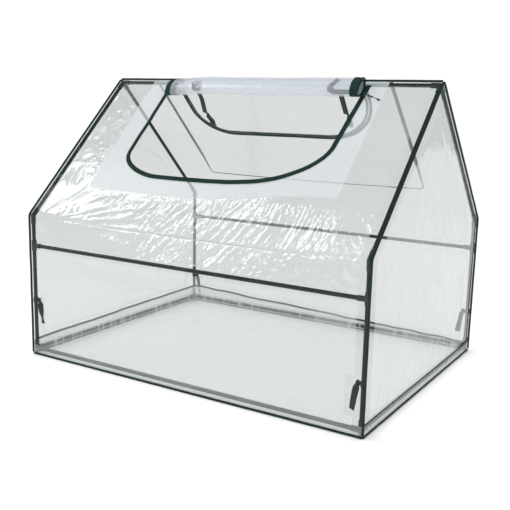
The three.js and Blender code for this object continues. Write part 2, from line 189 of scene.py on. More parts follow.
def front_relief(x, s):
    """How far the front film stands off its flat shape."""
    edge = ramp(SIDE_X - np.abs(x), 4, 45) * ramp(s, 4, 60)
    below = ramp(s, INSERT_DROP - 4, INSERT_DROP + 30)
    above_rail = 1 - ramp(s, RAIL_DROP - 12, RAIL_DROP + 6)
    beside = ramp(np.abs(x), INSERT_HALF - 4, INSERT_HALF + 25)
    left, right = ramp(-x, 100, 330), ramp(x, -60, 120)
    centre = ramp(x, -360, -60) * (1 - ramp(x, 430, 560))
    in_patches = ramp(noise(x / 150, s / 110, 13), -0.2, 0.1)
    shape = 2.6 * noise(x / 190, s / 150, 1) + 1.1 * noise(x / 70, s / 60, 2)
    shape += 4.0 * noise(x / 110, s / 80, 11) * np.maximum(below, beside)
    shape += 2.2 * fan(x, s, LEFT_SHOULDER, -0.42, 0.7, 620, 3) * left * below * above_rail
    shape += 3.6 * fan(x, s, PANEL_CORNER, 1.0, 0.9, 420, 4, 8) * below * above_rail
    for depth, heading, width, length, seed in CENTRE_STREAKS:
        shape += depth * streaks(x, s, heading, width, length, seed) * centre * below * above_rail
    shape += 1.4 * streaks(x, s, 0.35, 22, 90, 7) * right * ramp(s, 600, 650) * above_rail
    shape += 1.3 * creases(x / 22, s / 32, 12, 2) * below * above_rail * in_patches
    shape += 2.4 * creases(x / 30, s / 40, 9, 2) * beside * (1 - below) * ramp(-x, 0, 10)
    shape += 0.7 * creases(x / 26, s / 30, 10, 2) * beside * (1 - below) * ramp(x, 0, 10)
    return shape * edge * (0.25 + 0.75 * above_rail) * off_zip(x, s, FRONT_WINDOW["right"] - 6, 235)


def back_relief(x, s):
    """The back film is pulled smoother than the front."""
    edge = ramp(SIDE_X - np.abs(x), 4, 45) * ramp(s, 4, 60)
    shape = 2.4 * noise(x / 200, s / 160, 21) + 0.9 * noise(x / 75, s / 65, 22)
    for corner_x, heading, seed in ((-430, 2.2, 23), (430, 0.95, 24)):
        shape += 1.2 * fan(x, s, (corner_x, 480), heading, 0.8, 300, seed)
    shape += 0.8 * creases(x / 40, s / 50, 25) * ramp(s, INSERT_DROP, INSERT_DROP + 40)
    return shape * edge * off_zip(x, s, BACK_WINDOW["right"], 130)


def sag(side, x, s):
    """Inward sag of the film, which hangs almost straight from the ridge to the rail between the gables."""
    across = (1 - (x / SIDE_X) ** 2) ** 0.8
    above = np.clip((s - SAG_START) / (SLOPE - SAG_START), 0, 1) ** 1.4
    below = np.clip((RAIL_DROP - s) / (RAIL_DROP - SLOPE), 0, 1)
    softness = 0.06
    lower = -softness * np.log(np.exp(-above / softness) + np.exp(-below / softness))
    return FULL_SAG[side] * across * np.maximum(lower, 0)


def drawn_up(side, x, s):
    """The front film is drawn up below the right end of its window panel, which moves the seams there."""
    if side == "back":
        return s
    along = ramp(s, 400, INSERT_DROP) * (1 - ramp(s, INSERT_DROP, SLOPE - 10))
    return s - 42 * ramp(x, -100, 410) * along


def profile(s):
    """The section of the cover: distance out from the middle, height, and the outward direction."""
    t = np.clip((s - SLOPE + BEND) / (2 * BEND), 0, 1)
    on_slope = np.minimum(s, SLOPE - BEND)
    on_wall = np.maximum(s - SLOPE - BEND, 0)
    start_out, start_up = (SLOPE - BEND) * COS, RIDGE_Z - (SLOPE - BEND) * SIN
    end_up = SHOULDER_Z - BEND
    before = s < SLOPE - BEND
    after = s > SLOPE + BEND
    out = (1 - t) ** 2 * start_out + 2 * t * (1 - t) * WALL_Y + t**2 * WALL_Y
    up = (1 - t) ** 2 * start_up + 2 * t * (1 - t) * SHOULDER_Z + t**2 * end_up
    out = np.where(before, on_slope * COS, np.where(after, WALL_Y, out))
    up = np.where(before, RIDGE_Z - on_slope * SIN, np.where(after, end_up - on_wall, up))
    angle = (math.pi / 2 - PITCH) * (1 - smooth(t))
    return out, up, np.cos(angle), np.sin(angle)


def cover(side, x, s, lift=0.0):
    """Points on the front or back film: x across, s down from the ridge, lift out of the film.

    The back is the front turned half round, so its x runs the other way.
    """
    x, s, lift = np.broadcast_arrays(*(np.asarray(a, float) for a in (x, s, lift)))
    relief = front_relief(x, s) if side == "front" else back_relief(x, s)
    s = drawn_up(side, x, s)
    off = lift + relief - sag(side, x, s)
    out, up, normal_out, normal_up = profile(s)
    turn = -1 if side == "front" else 1
    y = turn * (out + off * normal_out)
    z = up + off * normal_up
    return np.stack([-turn * x, y, z], axis=-1)


def gable(side, y, t, lift=0.0):
    """Points on a gable: y across, t from 0 at the hem to 1 at the roof."""
    y, t = np.broadcast_arrays(np.asarray(y, float), np.asarray(t, float))
    top = SHOULDER_Z + (RIDGE_Z - SHOULDER_Z) * (1 - np.abs(y) / WALL_Y)
    z = HEM_Z + FILM_EDGE + t * (top - 1.4 * FILM_EDGE - HEM_Z - FILM_EDGE)
    sign = 1 if side == "right" else -1
    edge = ramp(WALL_Y - np.abs(y), 4, 50) * ramp(t, 0, 0.08) * (1 - ramp(t, 0.9, 1))
    seed = 31 if side == "right" else 41
    relief = 3 * noise(y / 190, z / 210, seed) + 0.8 * noise(y / 60, z / 90, seed + 1)
    relief += 0.9 * creases(y / 70 + z / 200, z / 160, seed + 2, 6) * ramp(z, 300, 420)
    relief += 0.8 * creases(y / 55 - z / 150, z / 130, seed + 3, 7) * (1 - ramp(z, 260, 380))
    return np.stack([sign * (SIDE_X + lift + relief * edge), y, z], axis=-1)


# ---- Meshes ----
def add_piece(name, points, faces, material, slot, body=ROOT, stands_for=()):
    mesh = bpy.data.meshes.new(name)
    mesh.from_pydata((np.asarray(points) * MM).tolist(), [], [tuple(map(int, f)) for f in faces])
    mesh.materials.append(material)
    mesh.shade_smooth()
    piece = bpy.data.objects.new(name, mesh)
    bpy.context.scene.collection.objects.link(piece)
    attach(piece, body)
    if stands_for:
        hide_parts(*stands_for)
    return piece


def add_film(name, points, faces, material, slot, veil=1.0, crinkle=0.3, **more):
    """A sheet of film. veil scales its haze and crinkle its small folds, at each point."""
    piece = add_piece(name, points, faces, material, slot, **more)
    for key, value in (("veil", veil), ("crinkle", crinkle)):
        values = np.broadcast_to(np.asarray(value, np.float32), len(piece.data.vertices))
        attribute = piece.data.attributes.new(key, "FLOAT", "POINT")
        attribute.data.foreach_set("value", np.ascontiguousarray(values))
    piece.visible_shadow = False  # the real film is far too thin to darken what it covers
    piece.visible_diffuse = False
    return piece


def joined(parts):
    """Several sets of points and faces as one."""
    points, faces, count = [], [], 0
    for part_points, part_faces in parts:
        points.append(np.asarray(part_points).reshape(-1, 3))
        faces.extend([[i + count for i in f] for f in part_faces])
        count += len(points[-1])
    return np.concatenate(points), faces


def grid(us, vs):
    """Points and quads of a grid in the plane."""
    u, v = np.meshgrid(us, vs)
    points = np.stack([u.ravel(), v.ravel()], axis=-1)
    corner = (np.arange(len(vs) - 1)[:, None] * len(us) + np.arange(len(us) - 1)).ravel()
    quads = np.stack([corner, corner + 1, corner + len(us) + 1, corner + len(us)], axis=1)
    return points, quads


def steps(start, end, size):
    """Evenly spaced values from start to end, about size apart."""
    return np.linspace(start, end, max(2, round(abs(end - start) / size) + 1))


def used_only(points, quads):
    """The quads with only the points that they use."""
    used, index = np.unique(quads, return_inverse=True)
    return points[used], index.reshape(quads.shape)


def inside(points, outline):
    """Which points lie inside a closed outline in the plane."""
    a, b = outline, np.roll(outline, -1, axis=0)
    x, y = points[:, 0, None], points[:, 1, None]
    spans = (a[:, 1] > y) != (b[:, 1] > y)
    rise = np.where(b[:, 1] == a[:, 1], 1e-9, b[:, 1] - a[:, 1])
    left = x < a[:, 0] + (y - a[:, 1]) / rise * (b[:, 0] - a[:, 0])
    return (spans & left).sum(axis=1) % 2 == 1


def nearest_on(points, outline):
    """The nearest place on a closed outline to each point."""
    a, b = outline, np.roll(outline, -1, axis=0)
    along = b - a
    length = np.maximum((along**2).sum(axis=1), 1e-9)
    t = np.clip(((points[:, None] - a) * along).sum(axis=2) / length, 0, 1)
    found = a + t[..., None] * along
    best = ((found - points[:, None]) ** 2).sum(axis=2).argmin(axis=1)
    return found[np.arange(len(points)), best]


def trimmed(points, quads, outline, keep_inside):
    """A grid cut along a closed outline, with its rim drawn up to the line."""
    is_in = inside(points[quads].mean(axis=1), outline)
    kept, dropped = quads[is_in == keep_inside], quads[is_in != keep_inside]
    rim = np.intersect1d(kept, dropped)
    points = points.copy()
    points[rim] = nearest_on(points[rim], outline)
    return used_only(points, kept)


def window_path(window, top, offset=0.0, spacing=4.0):
    """A window's outline in x and s: down its left arm, along the bottom and up its right arm."""
    left, right = window["left"] - offset, window["right"] + offset
    bottom = window["bottom"] + offset
    (ax, ay), (bx, by) = window["left_corner"], window["right_corner"]
    ax, ay, bx, by = ax + offset, ay + offset, bx + offset, by + offset
    turn = np.linspace(0, math.pi / 2, 40)
    first = np.stack([left + ax - ax * np.cos(turn), bottom - ay + ay * np.sin(turn)], axis=1)
    across = right - window["right_lean"] - bx
    second = np.stack([across + bx * np.sin(turn), bottom - by + by * np.cos(turn)], axis=1)
    line = np.concatenate([[[left, top]], first, second, [[right, top]]])
    return respaced(line, spacing)


def run_along(line):
    """The distance along a line at each of its points."""
    return np.concatenate([[0], np.cumsum(np.linalg.norm(np.diff(line, axis=0), axis=1))])


def read_at(values, run, at):
    """Vectors given at the distances in run, read at other distances."""
    return np.stack([np.interp(at, run, values[:, k]) for k in range(values.shape[1])], axis=1)


def respaced(line, spacing):
    """The same line with its points evenly spaced."""
    line = np.asarray(line, float)
    run = run_along(line)
    return read_at(line, run, steps(0, run[-1], spacing))


def rounded(line, radius, spacing=4.0):
    """A line of straight runs with its bends rounded, evenly spaced."""
    line = np.asarray(line, float)
    out = [line[0]]
    for before, corner, after in zip(line, line[1:], line[2:]):
        back, on = before - corner, after - corner
        cut = min(radius, np.linalg.norm(back) / 2.1, np.linalg.norm(on) / 2.1)
        start = corner + back / np.linalg.norm(back) * cut
        end = corner + on / np.linalg.norm(on) * cut
        for t in np.linspace(0, 1, 8):
            out.append((1 - t) ** 2 * start + 2 * t * (1 - t) * corner + t**2 * end)
    out.append(line[-1])
    return respaced(out, spacing)


def unit(v):
    return v / np.maximum(np.linalg.norm(v, axis=-1, keepdims=True), 1e-12)


def swept(line, up, section, loop=False):
    """A closed solid of one section swept along a line. The section's second number lies along up."""
    line = np.asarray(line, float)
    along = np.roll(line, -1, axis=0) - np.roll(line, 1, axis=0)
    if not loop:
        along[0], along[-1] = line[1] - line[0], line[-1] - line[-2]
    along = unit(along)
    up = np.broadcast_to(np.asarray(up, float), line.shape)
    across = unit(np.cross(along, up))
    up = np.cross(across, along)
    section = np.asarray(section, float)
    if section.ndim == 2:
        section = np.broadcast_to(section, (len(line), *section.shape))
    points = line[:, None] + across[:, None] * section[..., 0, None] + up[:, None] * section[..., 1, None]
    rings, sides = points.shape[:2]
    faces = []
    for i in range(rings if loop else rings - 1):
        here, there = i * sides, (i + 1) % rings * sides
        for j in range(sides):
            k = (j + 1) % sides
            faces.append([here + j, here + k, there + k, there + j])
    if not loop:
        faces.append(list(range(sides))[::-1])
        faces.append([(rings - 1) * sides + j for j in range(sides)])
    return points.reshape(-1, 3), faces


def circle(radius, sides=12):
    turn = np.linspace(0, 2 * np.pi, sides, endpoint=False)
    return np.stack([radius * np.cos(turn), radius * np.sin(turn)], axis=1)


def strip(width, thickness, columns=6, shift=0.0):
    """The section of a flat strip with rounded edges, shifted sideways."""
    half, thin = width / 2, thickness / 2
    xs = np.linspace(-half + thin, half - thin, columns)
    top = [(x, thin) for x in xs]
    end = [(half - 0.3 * thin, 0.7 * thin), (half, 0), (half - 0.3 * thin, -0.7 * thin)]
    low = [(x, -thin) for x in xs[::-1]]
    start = [(-half + 0.3 * thin, -0.7 * thin), (-half, 0), (-half + 0.3 * thin, 0.7 * thin)]
    return np.array(top + end + low + start) + [shift, 0]


def on_cover(side, path, lift):
    """A line on the film and the film's outward direction along it."""
    line = cover(side, *path.T, lift)
    higher = cover(side, *path.T, np.asarray(lift) + 5)
    return line, unit(higher - line)


# ---- Materials ----
def new_material(name):
    material = bpy.data.materials.new(name)
    material.use_nodes = True
    material.node_tree.nodes.clear()
    return material


def node(material, kind, inputs=None, **settings):
    """Adds a node. An input is a value, or another node's output that feeds it."""
    tree = material.node_tree
    made = tree.nodes.new("ShaderNode" + kind)
    for key, value in settings.items():
        setattr(made, key, value)
    for key, value in (inputs or {}).items():
        if isinstance(value, bpy.types.NodeSocket):
            tree.links.new(value, made.inputs[key])
        else:
            made.inputs[key].default_value = value
    return made


def finished(material, surface):
    node(material, "OutputMaterial", {"Surface": surface.outputs[0]})
    return material


def position(material):
    """Object coordinates, so that a pattern stays on its piece as it moves."""
    return node(material, "TexCoord").outputs["Object"]


def texture(material, scale, place, detail=3.0, distortion=0.0):
    inputs = {"Vector": place, "Scale": scale, "Detail": detail, "Distortion": distortion}
    return node(material, "TexNoise", inputs).outputs["Fac"]


def between(material, fac, low, high, start=0.3, end=0.7):
    inputs = {"Value": fac, "From Min": start, "From Max": end, "To Min": low, "To Max": high}
    return node(material, "MapRange", inputs).outputs[0]


def combined(material, operation, first, second):
    return node(material, "Math", {0: first, 1: second}, operation=operation).outputs[0]


def bumped(material, height, depth, strength=1.0, normal=None):
    """A normal that follows a height, with its depth in millimetres."""
    inputs = {"Height": height, "Distance": depth * MM, "Strength": strength}
    if normal:
        inputs["Normal"] = normal
    return node(material, "Bump", inputs).outputs[0]


def colours(material, fac, low, high):
    made = node(material, "Mix", {0: fac}, data_type="RGBA")
    made.inputs[6].default_value = (*low, 1)
    made.inputs[7].default_value = (*high, 1)
    return made.outputs[2]


STREAK_LINE = Vector((-1, -COS, -SIN))  # the way most of the front film's fine folds run
STREAK_TURN = STREAK_LINE.to_track_quat("X", "Z").to_euler()


def film_normal(material, place):
    """Small facets with finer folds across them, as strong as the piece's crinkle."""
    crinkle = node(material, "Attribute", attribute_name="crinkle").outputs["Fac"]
    facets = node(material, "TexVoronoi", {"Vector": place, "Scale": 105.0, "Smoothness": 0.2},
                  feature="SMOOTH_F1")
    normal = bumped(material, facets.outputs["Distance"], 1.2, crinkle)
    drawn = node(material, "Mapping", {"Vector": place, "Rotation": STREAK_TURN, "Scale": (5, 1, 1)},
                 vector_type="TEXTURE").outputs[0]
    ripple = texture(material, 260.0, drawn, 2.5, 0.4)
    return bumped(material, ripple, 0.8, crinkle, normal)


def film(name, colour, haze, clouds=0.03, shine=0.9, roughness=0.07, tint=(0.985, 0.995, 0.99)):
    """Soft clear sheet: it shows what is behind it under a thin haze, with a wet-looking shine.

    Where the piece's veil is low, something lies against the film: it has less haze and less shine.
    """
    material = new_material(name)
    place = position(material)
    normal = film_normal(material, place)
    cloud = between(material, texture(material, 7.0, place, 3.0, 0.3), haze - clouds, haze + clouds)
    contact = node(material, "Attribute", attribute_name="veil").outputs["Fac"]
    veil = combined(material, "MULTIPLY", cloud, contact)
    wetted = [t * (1 - haze) + c * haze for t, c in zip(tint, colour)]
    clear = node(material, "BsdfTransparent", {"Color": colours(material, contact, wetted, tint)})
    dull = node(material, "BsdfDiffuse", {"Color": (*colour, 1), "Normal": normal})
    body = node(material, "MixShader", {0: veil, 1: clear.outputs[0], 2: dull.outputs[0]})
    gloss = node(material, "BsdfAnisotropic",
                 {"Color": (1, 1, 1, 1), "Roughness": roughness, "Normal": normal})
    facing = node(material, "LayerWeight", {"Blend": 0.5, "Normal": normal}).outputs["Facing"]
    steep = combined(material, "POWER", facing, 4.0)
    share = between(material, steep, 0.08 * shine, 0.7 * shine, 0.0, 1.0)
    loose = between(material, contact, 0.1, 1.0, 0.0, 1.0)
    share = combined(material, "MULTIPLY", share, loose)
    surface = node(material, "MixShader", {0: share, 1: body.outputs[0], 2: gloss.outputs[0]})
    return finished(material, surface)


def painted_steel(name):
    """Dark green powder coat: glossy, with a fine orange peel."""
    material = new_material(name)
    place = position(material)
    patches = texture(material, 30.0, place)
    colour = colours(material, patches, (0.004, 0.013, 0.011), (0.008, 0.025, 0.02))
    peel = texture(material, 700.0, place, 2.0)
    surface = node(material, "BsdfPrincipled", {
        "Base Color": colour,
        "Roughness": between(material, patches, 0.2, 0.34),
        "Specular IOR Level": 0.2,
        "Coat Weight": 0.2,
        "Coat Roughness": 0.08,
        "Normal": bumped(material, peel, 0.04, 0.5),
    })
    return finished(material, surface)


def moulded(name, low, high, roughness=0.38):
    """Moulded plastic with a fine grain."""
    material = new_material(name)
    place = position(material)
    grain = texture(material, 900.0, place, 3.0)
    patches = texture(material, 40.0, place)
    surface = node(material, "BsdfPrincipled", {
        "Base Color": colours(material, patches, low, high),
        "Roughness": between(material, grain, roughness - 0.06, roughness + 0.08),
        "Normal": bumped(material, grain, 0.06, 0.5),
    })
    return finished(material, surface)


def woven(name, low, high, scale, roughness=0.75, depth=0.12, sheen=0.25):
    """Cloth: two crossed waves make the weave, with worn and deeper patches."""
    material = new_material(name)
    place = position(material)
    wave = {"Vector": place, "Scale": scale, "Distortion": 0.6}
    warp = node(material, "TexWave", wave, bands_direction="DIAGONAL")
    weft = node(material, "TexWave", wave, bands_direction="Z")
    weave = combined(material, "MULTIPLY", warp.outputs["Fac"], weft.outputs["Fac"])
    patches = texture(material, 25.0, place)
    mixed = combined(material, "ADD", weave, patches)
    surface = node(material, "BsdfPrincipled", {
        "Base Color": colours(material, between(material, mixed, 0, 1, 0.3, 1.3), low, high),
        "Roughness": between(material, weave, roughness + 0.1, roughness - 0.1, 0, 1),
        "Specular IOR Level": 0.25,
        "Sheen Weight": sheen,
        "Sheen Roughness": 0.5,
        "Normal": bumped(material, weave, depth, 0.8),
    })
    return finished(material, surface)


STEEL = painted_steel("painted_steel_look")
FITTING = moulded("fitting_look", (0.006, 0.02, 0.017), (0.01, 0.03, 0.025))
CLEAR = film("clear_film_look", (0.6, 0.63, 0.625), 0.12, roughness=0.05, tint=(0.925, 0.94, 0.935))
# The clear film again with a darker tint, for the back and the left gable: part is the real loss through a
# second layer of film, the rest is painted shade inside the cover.
SHADED_FAR_FILM = film("far_film_shaded_look", (0.66, 0.69, 0.685), 0.1, tint=(0.67, 0.69, 0.685))
MILKY = film("window_film_look", (0.61, 0.65, 0.69), 0.5, roughness=0.3, shine=0.2)
ROLLED = film("rolled_film_look", (0.57, 0.6, 0.655), 0.36, 0.05, roughness=0.2, shine=0.3)
# The ground sheet's dark tint: part is its own haze, the rest is painted shade on the floor under the
# cover, whose film casts no shadow.
SHADED_GROUND_FILM = film("ground_film_shaded_look", (0.7, 0.72, 0.73), 0.45, 0.05, roughness=0.25, shine=0.3,
              tint=(0.7, 0.72, 0.72))
HEM = film("hem_film_look", (0.6, 0.64, 0.64), 0.24, 0.04, roughness=0.15, shine=0.4)
PIPING = woven("piping_look", (0.002, 0.013, 0.01), (0.005, 0.034, 0.026), 900.0, 0.45, 0.05, 0.03)
TAPE = woven("zip_tape_look", (0.001, 0.014, 0.01), (0.004, 0.04, 0.03), 420.0, 0.65, 0.12, 0.04)
COIL = moulded("zip_coil_look", (0.002, 0.018, 0.013), (0.006, 0.036, 0.028), 0.4)
THREAD = woven("thread_look", (0.005, 0.035, 0.026), (0.01, 0.06, 0.045), 1500.0, 0.7, 0.04, 0.1)
STRAP = woven("webbing_look", (0.01, 0.017, 0.016), (0.028, 0.037, 0.035), 380.0, 0.85, 0.2, 0.1)
SLIDER = moulded("slider_look", (0.008, 0.05, 0.038), (0.014, 0.075, 0.058), 0.3)
BLACK = moulded("pull_look", (0.006, 0.007, 0.007), (0.014, 0.015, 0.015), 0.45)


# ---- Frame ----
def tube_line(name):
    """The ends of a CAD tube's centre line, from the points of its mesh."""
    points = np.array([v.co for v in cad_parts[name].data.vertices]) / MM
    centre = points.mean(axis=0)
    along = np.linalg.svd(points - centre, full_matrices=False)[2][0]
    reach = (points - centre) @ along
    return centre + along * reach.min(), centre + along * reach.max()


def add_tube(name):
    """A round steel tube with its square-cut, hollow ends."""
    start, end = tube_line(name)
    up = (0, 1, 0) if abs(unit(end - start)[1]) < 0.5 else (1, 0, 0)
    wall = 0.8
    sides = 28
    line = np.array([start, end])
    points, faces = swept(line, up, circle(TUBE_RADIUS, sides))
    inner_points = swept(line, up, circle(TUBE_RADIUS - wall, sides))[0]
    faces = faces[:-2]
    count = 2 * sides
    for j in range(sides):
        k = (j + 1) % sides
        faces.append([count + k, count + j, count + sides + j, count + sides + k])
        faces.append([k, j, count + j, count + k])
        faces.append([sides + j, sides + k, count + sides + k, count + sides + j])
    piece = add_piece(name + "_round", np.concatenate([points, inner_points]), faces, STEEL,
                      "painted_steel", stands_for=[name])
    piece.data.set_sharp_from_angle(angle=math.radians(50))


def add_fitting(name):
    """A moulded fitting: the CAD shape with its edges and inner corners rounded."""
    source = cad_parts[name]
    piece = bpy.data.objects.new(name + "_moulded", source.data.copy())
    bpy.context.scene.collection.objects.link(piece)
    remesh = piece.modifiers.new("round", "REMESH")
    remesh.mode = "VOXEL"
    remesh.voxel_size = 0.9 * MM
    soften = piece.modifiers.new("soften", "SMOOTH")
    soften.factor = 0.5
    soften.iterations = 6
    depsgraph = bpy.context.evaluated_depsgraph_get()
    mesh = bpy.data.meshes.new_from_object(piece.evaluated_get(depsgraph))
    piece.modifiers.clear()
    piece.data = mesh
    mesh.materials.clear()
    mesh.materials.append(FITTING)
    mesh.shade_smooth()
    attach(piece, ROOT)
    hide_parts(name)


def add_frame():
    """The tubes and the fittings that join them."""
    for name in sorted(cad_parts):
        if name.startswith(("base_tube", "upright", "rafter", "ridge_tube", "rail_front", "rail_back")):
            add_tube(name)
        elif name.startswith(("base_corner", "rail_tee", "shoulder_elbow", "ridge_fitting")):
            add_fitting(name)


# ---- Film ----
CELL = 5.0  # of the film meshes
TOUCH = 0.06  # haze left where the film lies on a tube and its small folds are wetted out


def touching(distance, reach=TUBE_RADIUS + 4):
    """The film's veil by its distance from the middle line of what lies against it."""
    return TOUCH + (1 - TOUCH) * ramp(distance, reach, reach + 6)


def wall_height(s):
    """The height of the film s down from the ridge, below the shoulder."""
    return SHOULDER_Z - (s - SLOPE)


def outer_film_marks(side, x, s):
    """The veil and the crinkle of the front or back film.

    It is clear on the tubes and smooth below the rail. At the front's lower right its extra haze is a
    painted highlight for the dense glints there.
    """
    z = wall_height(s)
    tubes = [s - TUBE_INSET, z - RAIL_Z, z - BASE_Z]
    veil = np.min([touching(np.abs(d)) for d in tubes], axis=0)
    veil = np.minimum(veil, touching(TUBE_X - np.abs(x), TUBE_RADIUS + 14))
    rough = 1 - 0.95 * ramp(z, RAIL_Z, RAIL_Z - 14)
    patches = 0.45 + 0.55 * ramp(noise(x / 120, s / 90, 131), -0.25, 0.2)
    calm = 0.85 * ramp(-x, 300, 400) * ramp(s, 470, 520)
    crinkle = rough * patches * (0.75 * (1 - calm) if side == "front" else 0.35)
    if side == "front":
        veil = np.minimum(veil, corner_tie_marks(x, z))
        # extra haze at the lower right and the right edge: painted highlight standing in for dense glints
        painted_glint_haze = 2.0 * crinkle * ramp(s, 480, 540) * ramp(x, -400, 100) + 1.3 * ramp(x, 400, 470)
        veil = veil + painted_glint_haze * (veil > 0.9)
    return veil, crinkle


def corner_tie_marks(x, z):
    """The front film's veil over the ties at its two corners, which lie against it."""
    veil = np.ones(np.shape(x))
    for sign_x, sign_y, height in TIE_CORNERS.values():
        if sign_y < 0:
            inward = TUBE_X - sign_x * x
            beyond = np.maximum(np.abs(inward - 22) - 24, np.abs(z - height + 34) - 52)
            veil = np.minimum(veil, touching(beyond, 0))
    return veil


def gable_marks(y, z):
    """The veil of a gable: clear on the tubes, and hazier, so darker, towards the roof: a painted shade."""
    far = 99
    roof = RIDGE_Z - (RIDGE_Z - SHOULDER_Z) * np.abs(y) / WALL_Y
    rafter = np.where(z < SHOULDER_Z - 12, far, (roof - z) * COS - TUBE_INSET)
    upright = TUBE_Y - np.abs(y) + np.where(z > SHOULDER_Z, far, 0)
    tubes = [upright, rafter, z - BASE_Z]
    veil = np.min([touching(np.abs(d), TUBE_RADIUS + 18) for d in tubes], axis=0)
    # more haze towards the roof darkens the gable there: painted shade
    return veil * (1 + 1.6 * ramp(z, 300, 650))


def add_outer_film(side):
    """One sheet from the ridge, over the shoulder and down to the hem, round its window panel."""
    half = SIDE_X - FILM_EDGE
    total = SLOPE + SHOULDER_Z - HEM_Z - FILM_EDGE
    cell = CELL if side == "back" else 0.65 * CELL
    xs = np.concatenate([
        steps(-half, -INSERT_HALF, cell),
        steps(-INSERT_HALF, INSERT_HALF, cell)[1:-1],
        steps(INSERT_HALF, half, cell),
    ])
    down = np.concatenate([steps(FILM_EDGE, INSERT_DROP, cell), steps(INSERT_DROP, total, cell)[1:]])
    points, quads = grid(xs, down)
    centres = points[quads].mean(axis=1)
    window = (np.abs(centres[:, 0]) < INSERT_HALF) & (centres[:, 1] < INSERT_DROP)
    points, quads = used_only(points, quads[~window])
    veil, crinkle = outer_film_marks(side, *points.T)
    look = CLEAR if side == "front" else SHADED_FAR_FILM
    piece = add_film(f"{side}_cover_film", cover(side, *points.T), quads[:, ::-1], look, "clear_film",
                     veil, crinkle, stands_for=[f"{side}_slope_film", f"{side}_wall_film"])


def back_panel_veil(points):
    """The veil of the back window film: milky, but clear where the zip tape and the ties lie on it."""
    path = window_path(BACK_WINDOW, BACK_WINDOW["top"], 0, 12)
    to_zip = np.linalg.norm(points[:, None] - path, axis=2).min(axis=1)
    veil = touching(to_zip, TAPE_HALF + 3)
    for x, end in BACK_TIE_SPOTS:
        beyond = np.maximum(np.abs(points[:, 0] - x) - 22, points[:, 1] - end)
        veil = np.minimum(veil, touching(beyond, 0))
    return 2.2 * veil


def add_window_panel(side, window, hole_top):
    """The panel let into a slope, cut out along its window's zip."""
    points, quads = grid(steps(-INSERT_HALF, INSERT_HALF, CELL), steps(FILM_EDGE, INSERT_DROP, CELL))
    outline = window_path(window, hole_top)
    points, quads = trimmed(points, quads, outline, keep_inside=False)
    look, veil = MILKY, 1.0
    if side == "back":
        look, veil = SHADED_FAR_FILM, back_panel_veil(points)
    piece = add_film(f"{side}_window_surround", cover(side, *points.T), quads[:, ::-1], look,
                     "window_film", veil, 0.1, stands_for=[f"{side}_window_panel"])


def add_gable(side):
    """One sheet from the hem up to the roof."""
    ys = steps(-WALL_Y + FILM_EDGE, WALL_Y - FILM_EDGE, 6.0)
    ts = np.linspace(0, 1, 140)
    points, quads = grid(ys, ts)
    if side == "left":
        quads = quads[:, ::-1]
    shape = gable(side, *points.T)
    look = CLEAR if side == "right" else SHADED_FAR_FILM
    piece = add_film(f"gable_film_{side}", shape, quads, look, "clear_film",
                     gable_marks(shape[:, 1], shape[:, 2]), 0.1, stands_for=[f"gable_panel_{side}"])


def add_hem_bands():
    """The doubled film above the hem, on all four sides."""
    height = 28
    low = HEM_Z + FILM_EDGE - 3
    for side in ("front", "back", "left", "right"):
        is_gable = side in ("left", "right")
        half = (WALL_Y if is_gable else SIDE_X) - FILM_EDGE
        points, quads = grid(steps(-half, half, 8.0), steps(0, height, 5.0))
        u, v = points.T
        if is_gable:
            sign = 1 if side == "right" else -1
            bulge = 0.7 + 0.4 * noise(u / 60, v / 20, 51)
            shape = np.stack([sign * (SIDE_X + bulge), u, low + v], axis=-1)
        else:
            shape = cover(side, u, SLOPE + SHOULDER_Z - (low + v), 0.7)
            quads = quads[:, ::-1]
        piece = add_film(f"hem_band_{side}", shape, quads, HEM, "clear_film", crinkle=0.1)


# ---- Ground sheet ----
SHEET_LOW, SHEET_HIGH = box_mm("floor_sheet")
SHEET_LEFT, SHEET_RIGHT = SHEET_LOW[0] + 1, SHEET_HIGH[0]
SHEET_FRONT, SHEET_BACK = SHEET_LOW[1], SHEET_HIGH[1] - 1
LEFT_RISE, CORNER_RISE, BACK_RISE = 55, SHEET_HIGH[2] - 2, 32  # heights of its turned-up edge


def ground_shape(u, v):
    """Points of the flat sheet, with what lies past the left and back lines turned up."""
    over_left, over_back = np.maximum(SHEET_LEFT - u, 0), np.maximum(v - SHEET_BACK, 0)
    y_share = np.clip((v - SHEET_FRONT) / (SHEET_BACK - SHEET_FRONT), 0, 1)
    x_share = np.clip((u - SHEET_LEFT) / (SHEET_RIGHT - SHEET_LEFT), 0, 1)
    x, y = np.maximum(u, SHEET_LEFT), np.minimum(v, SHEET_BACK)
    left_top = LEFT_RISE + (CORNER_RISE - LEFT_RISE) * y_share + 3 * noise(v / 90, 0.5, 61)
    back_top = CORNER_RISE + (BACK_RISE - CORNER_RISE) * x_share + 4 * noise(u / 70, 0.5, 62)
    rise = over_left / CORNER_RISE * left_top + over_back / CORNER_RISE * back_top
    flat = 1 - ramp(over_left + over_back, 0, 8)
    edges = [u - SHEET_LEFT, SHEET_BACK - v, SHEET_RIGHT - u, v - SHEET_FRONT]
    ripple = (1.3 * noise(u / 160, v / 120, 63) + 0.8) * ramp(np.min(edges, axis=0), 12, 50)
    lean = 2.2 * noise(v / 80, rise / 50, 64) * ramp(over_left, 0, 30)
    push = 2.2 * noise(u / 80, rise / 50, 65) * ramp(over_back, 0, 30)
    z = 1.5 + rise + ripple * flat
    return np.stack([x + np.abs(lean), y - np.abs(push), z], axis=-1)


